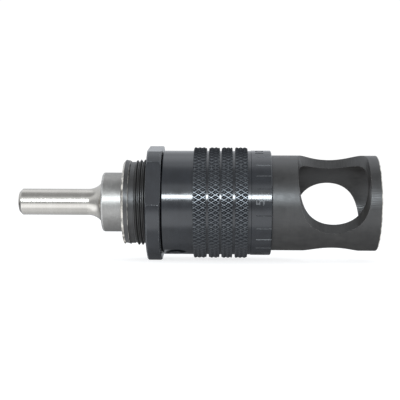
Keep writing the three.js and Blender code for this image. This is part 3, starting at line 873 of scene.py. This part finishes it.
def makeSpindle():
    back = span("spindle")[1]
    r, hubR, filletR = spindle["shankR"], spindle["hubR"], spindle["filletR"]
    hubFront, hubBack = spindle["hub"]
    reach = spindle["filletBack"] - hubBack
    lastAngle = math.degrees(math.acos(reach / filletR))
    bend, count = [], spindle["filletSteps"]
    for k in range(count + 1):
        a = math.radians(270 - (90 - lastAngle) * k / count)
        bend.append((spindle["filletBack"] + filletR * math.cos(a), r + filletR + filletR * math.sin(a), 0))
    boss, wall, journal = spindle["bossR"], barrel["rearWall"] - 0.05, spindle["journalR"]
    tailFront, tailR = spindle["tail"]
    tailBack = span("front_bearing_inner_ring")[0] - 0.05
    profile = [(back, 0), (back, r - spindle["endChamfer"], 0.12), (back - spindle["endChamfer"], r, 0.12), *bend,
               (hubBack, hubR, 0.55), (hubFront, hubR, 0.2), (hubFront, boss), (wall, boss), (wall, journal),
               (tailBack, journal), (tailBack, tailR), (tailFront, tailR, 0.5), (tailFront, 0)]
    made = turned("drive_spindle", profile, "brightSteel", spindle["sides"], corner=0.08, steps=4)
    made.data.materials.append(materials["satinSteel"])
    for face in made.data.polygons:
        b, height = (faceX - face.center.x) / mm, math.hypot(face.center.y, face.center.z - axisZ) / mm
        if b < hubBack - 0.02 and height > boss:
            face.material_index = 1
    return finish(made, "spindle")


def makeSocket():
    front, back = span("cutter_socket")
    outer, bore = socket["outerR"], socket["boreR"]
    stepBack, stepR = socket["step"]
    counterFront, counterR = socket["counterbore"]
    profile = [(front, bore + 0.35), (front, outer, 0.4), (stepBack, outer), (stepBack, stepR), (back, stepR),
               (back, counterR), (counterFront, counterR), (counterFront, bore), (front + 0.35, bore)]
    made = turned("cutter_holder", profile, "brightSteel")
    carve(made, [block("flat", clock, socket["flats"], (socket["flatR"], 6), 12) for clock in (90, 270)])
    return finish(made, "cutter_socket")


makeSpindle()
makeSocket()
print("spindle made")


spring = {"wireR": 0.6, "coilR": 7.05, "turns": 5.5, "closedStep": 1.25, "front": 22.35, "back": 34.7,
          "anchorX": 0.0077, "keep": 0.56}
plainRings = {
    "spring_seat": {"bore": 5.3, "r": 7.95, "finish": "groundSteel"},
    "outer_spacer": {"bore": 6.6, "r": 7.9, "finish": "groundSteel"},
    "inner_spacer": {"bore": 3.25, "r": 4.2, "finish": "groundSteel"},
    "front_bearing_shield": {"bore": 4.95, "r": 6.25, "finish": "groundSteel"},
    "rear_bearing_shield": {"bore": 4.95, "r": 6.25, "finish": "groundSteel"},
    "body_clip": {"bore": 6.9, "r": 8.5, "finish": "springSteel", "gap": (0, 18)},
    "stop_clip": {"bore": 11.15, "r": 11.88, "finish": "springSteel", "gap": (60, 12)},
}
tabWashers = {"stop_washer": {"r": 11.5, "finish": "groundSteel"}, "lock_washer": {"r": 11.7, "finish": "blackSatin"}}
waveWasher = {"bore": 6.9, "r": 7.8, "thick": 0.25, "waves": 3}
dustSeal = {"bore": 4.15, "r": 6.15, "groove": (4.7, 5.5), "depth": 0.15}


def makeSpring():
    made = emptyObject("skirt_spring")
    openStep = (spring["back"] - spring["front"] - 2 * spring["closedStep"]) / (spring["turns"] - 2)
    grow(made, coilTree, "springSteel", **{
        "Start X": faceX - spring["front"] * mm, "Wire Radius": spring["wireR"] * mm,
        "Coil Radius": spring["coilR"] * mm, "Turns": spring["turns"], "Open Step": openStep * mm,
        "Closed Step": spring["closedStep"] * mm})
    tidyMesh(made.data)
    finish(made, "foot_spring")
    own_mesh(made)


def flatRing(front, back, bore, r):
    return [(front, bore), (front, r), (back, r), (back, bore)]


def makePlainRing(node, sizes):
    profile = flatRing(*span(node), sizes["bore"], sizes["r"])
    made = turned(node + "_turned", profile, sizes["finish"], corner=0.06, gap=sizes.get("gap"))
    return finish(made, node)


def makeTabWasher(node, sizes):
    front, back = span(node)
    bore = nut["boreR"] + 0.05
    made = turned(node + "_stamped", flatRing(front, back, bore, sizes["r"]), sizes["finish"], 144, corner=0.05)
    tab = block("tab", keyway["clock"], (front, back), (keyway["tabR"], bore + 0.3), keyway["tabWidth"])
    carve(made, [tab], "UNION")
    return finish(made, node)


def makeWaveWasher():
    front, back = span("preload_washer")
    middle, half = (front + back) / 2, waveWasher["thick"] / 2
    swing = (back - front) / 2 - half
    profile = flatRing(middle - half, middle + half, waveWasher["bore"], waveWasher["r"])
    made = turned("preload_wave_washer", profile, "springSteel", 144, corner=0.04)
    for vert in made.data.vertices:
        vert.co.x += swing * mm * math.sin(waveWasher["waves"] * math.atan2(vert.co.z - axisZ, vert.co.y))
    return finish(made, "preload_washer")


def makeSeal():
    front, back = span("dust_seal")
    inner, outer = dustSeal["groove"]
    dip = back - dustSeal["depth"]
    profile = [(front, dustSeal["bore"] + 0.25), (front, dustSeal["r"]), (back, dustSeal["r"], 0.15), (back, outer),
               (dip, outer - 0.1), (dip, inner + 0.1), (back, inner), (back, dustSeal["bore"], 0.12)]
    return finish(turned("rear_dust_seal", profile, "sealRubber", 144, corner=0.05), "dust_seal")


def makePins():
    low, high = guidePin["radii"]
    chamfer = 0.15
    share = chamfer / (high - low)
    for letter, clock in zip("ab", guidePin["clocks"]):
        ends = place(guidePin["back"], low, clock), place(guidePin["back"], high, clock)
        rings = [(0, guidePin["r"] - chamfer), (share, guidePin["r"]), (1 - share, guidePin["r"]),
                 (1, guidePin["r"] - chamfer)]
        finish(roundBar("key_pin_" + letter, *ends, rings, 48, "groundSteel"), "guide_pin_" + letter)


makeSpring()
makeWaveWasher()
makeSeal()
makePins()
for node, sizes in plainRings.items():
    makePlainRing(node, sizes)
for node, sizes in tabWashers.items():
    makeTabWasher(node, sizes)
print("small rings made")


bearing = {"innerR": 3.2, "outerR": 7.94, "pitchR": 5.55, "ballR": 1.19, "balls": 8, "trackGap": 0.11,
           "innerLandR": 4.75, "outerLandR": 6.35, "cage": (5.1, 6.0), "cageReach": (-0.6, 1.9), "pocketGap": 0.14,
           "trackSteps": 12}


def trackArc(middle, landR, side):
    # the ball track's round bottom, from one shoulder to the other
    r = bearing["ballR"] + bearing["trackGap"]
    reach = math.acos(abs(landR - bearing["pitchR"]) / r)
    angles = [reach - 2 * reach * k / bearing["trackSteps"] for k in range(bearing["trackSteps"] + 1)]
    return [(middle - r * math.sin(a), bearing["pitchR"] + side * r * math.cos(a), 0) for a in angles]


def ballSet(name, middle, radius, finishName):
    return grow(emptyObject(name), ballTree, finishName, **{
        "Middle X": faceX - middle * mm, "Pitch Radius": bearing["pitchR"] * mm, "Ball Radius": radius * mm,
        "Balls": bearing["balls"]})


def makeBearing(prefix, side):
    front, back = span(prefix + "_outer_ring")
    middle = (front + back) / 2
    for which, facing, sides in (("inner", -1, 128), ("outer", 1, 160)):
        rimR, landR = bearing[which + "R"], bearing[which + "LandR"]
        profile = [(front, rimR), (front, landR), *trackArc(middle, landR, facing), (back, landR), (back, rimR)]
        finish(turned(f"{prefix}_{which}_race", profile, "groundSteel", sides, corner=0.15), f"{prefix}_{which}_ring")
    low, high = sorted(middle + side * reach for reach in bearing["cageReach"])
    bore, r = bearing["cage"]
    crown = turned(prefix + "_crown_cage", flatRing(low, high, bore, r), "brassCage", corner=0.05)
    carve(crown, [ballSet("pockets", middle, bearing["ballR"] + bearing["pocketGap"], "brassCage")])
    finish(crown, prefix + "_ball_cage")
    balls = ballSet(prefix + "_balls", middle, bearing["ballR"], "brightSteel")
    balls.data.shade_smooth()
    finish(balls, *[f"{prefix}_ball_{i + 1}" for i in range(bearing["balls"])])


makeBearing("front_bearing", -1)
makeBearing("rear_bearing", 1)
print("bearings made")


studio = {"leftTable": 0.6, "tableSide": (-0.09, -0.14), "tableBelow": (-0.15, -0.5), "frontToBack": (-0.12, 0.25),
          "floor": 0.42, "floorGlow": 0.75, "floorDrop": 0.03, "backdrop": 1.05, "tint": (0.94, 0.975, 1.03)}
# brightness of the room by height: -1 is straight down, 1 straight up
roomFront = [(-1.0, 0.55), (-0.87, 0.60), (-0.74, 1.25), (-0.42, 1.20), (-0.12, 0.50), (0.15, 0.60), (0.45, 1.0),
             (0.58, 0.95), (0.72, 0.50), (0.94, 0.50), (1.0, 1.1)]
roomBack = [(-1.0, 0.50), (-0.80, 0.22), (-0.15, 0.20), (0.0, 0.60), (0.30, 0.85), (0.77, 0.95), (0.90, 1.3),
            (1.0, 1.2)]
softboxes = {
    "frontKey": {"place": (-0.05, -0.60, 0.142), "size": (0.34, 0.080), "power": 2.1, "tint": (0.86, 0.94, 1.0)},
}


def makeFloor():
    mesh = bpy.data.meshes.new("studio_floor")
    mesh.from_pydata([(-3, -3, 0), (3, -3, 0), (3, 3, 0), (-3, 3, 0)], [], [(0, 1, 2, 3)])
    floor = bpy.data.objects.new("studio_floor", mesh)
    scene.collection.objects.link(floor)
    floor.location.z = -studio["floorDrop"] * mm
    floor.visible_glossy = False
    made = bpy.data.materials.new("paleFloor")
    made.use_nodes = True
    shader = made.node_tree.nodes["Principled BSDF"]
    shader.inputs["Base Color"].default_value = (studio["floor"], studio["floor"], studio["floor"], 1)
    shader.inputs["Roughness"].default_value = 0.8
    shader.inputs["Specular IOR Level"].default_value = 0.1
    shader.inputs["Emission Color"].default_value = (1, 1, 1, 1)
    shader.inputs["Emission Strength"].default_value = studio["floorGlow"]
    mesh.materials.append(made)


def makeSoftbox(name, look):
    lamp = bpy.data.lights.new(name, "AREA")
    lamp.shape = "RECTANGLE"
    lamp.size, lamp.size_y = look["size"]
    lamp.energy = look["power"]
    lamp.color = look["tint"]
    box = bpy.data.objects.new(name, lamp)
    box.location = look["place"]
    box.rotation_euler = (Vector((0, 0, axisZ)) - Vector(look["place"])).to_track_quat("-Z", "Y").to_euler()
    scene.collection.objects.link(box)


def levelCurve(tree, height, levels):
    # brightness for a height, from a list of (height, brightness)
    curve = addNode(tree, "ShaderNodeFloatCurve", {"Value": remap(tree, height, -1.0, 1.0)})
    line = curve.mapping.curves[0]
    most = max(level for _, level in levels)
    line.points[0].location, line.points[1].location = (0, levels[0][1] / most), (1, levels[-1][1] / most)
    for where, level in levels[1:-1]:
        line.points.new((where + 1) / 2, level / most)
    curve.mapping.update()
    return calc(tree, "MULTIPLY", curve.outputs[0], most)


def makeWorld():
    # a room whose front and back light differ with height, and a white backdrop behind the piece
    world = bpy.data.worlds.new("studio")
    scene.world = world
    world.use_nodes = True
    tree = world.node_tree
    toward = tree.nodes.new("ShaderNodeTexCoord").outputs["Generated"]
    way = addNode(tree, "ShaderNodeSeparateXYZ", {"Vector": toward}).outputs
    behind = remap(tree, way["Y"], *studio["frontToBack"])
    front = levelCurve(tree, way["Z"], roomFront)
    rear = levelCurve(tree, way["Z"], roomBack)
    room = calc(tree, "MULTIPLY_ADD", calc(tree, "SUBTRACT", rear, front), behind, front)
    beside = calc(tree, "MULTIPLY", remap(tree, way["X"], *studio["tableSide"], 0.0, studio["leftTable"]),
                  remap(tree, way["Z"], *studio["tableBelow"]))
    light = calc(tree, "ADD", room, beside)
    walls = tree.nodes["Background"]
    tree.links.new(light, walls.inputs["Strength"])
    walls.inputs["Color"].default_value = (*studio["tint"], 1)
    white = (1, 1, 1, 1)
    seen = addNode(tree, "ShaderNodeBackground", {"Color": white, "Strength": studio["backdrop"]})
    rays = tree.nodes.new("ShaderNodeLightPath").outputs["Is Camera Ray"]
    both = addNode(tree, "ShaderNodeMixShader", {0: rays, 1: walls.outputs[0], 2: seen.outputs[0]})
    tree.links.new(both.outputs[0], tree.nodes["World Output"].inputs["Surface"])


makeFloor()
for name, look in softboxes.items():
    makeSoftbox(name, look)
makeWorld()
scene.view_settings.view_transform = "Standard"
print("studio made")
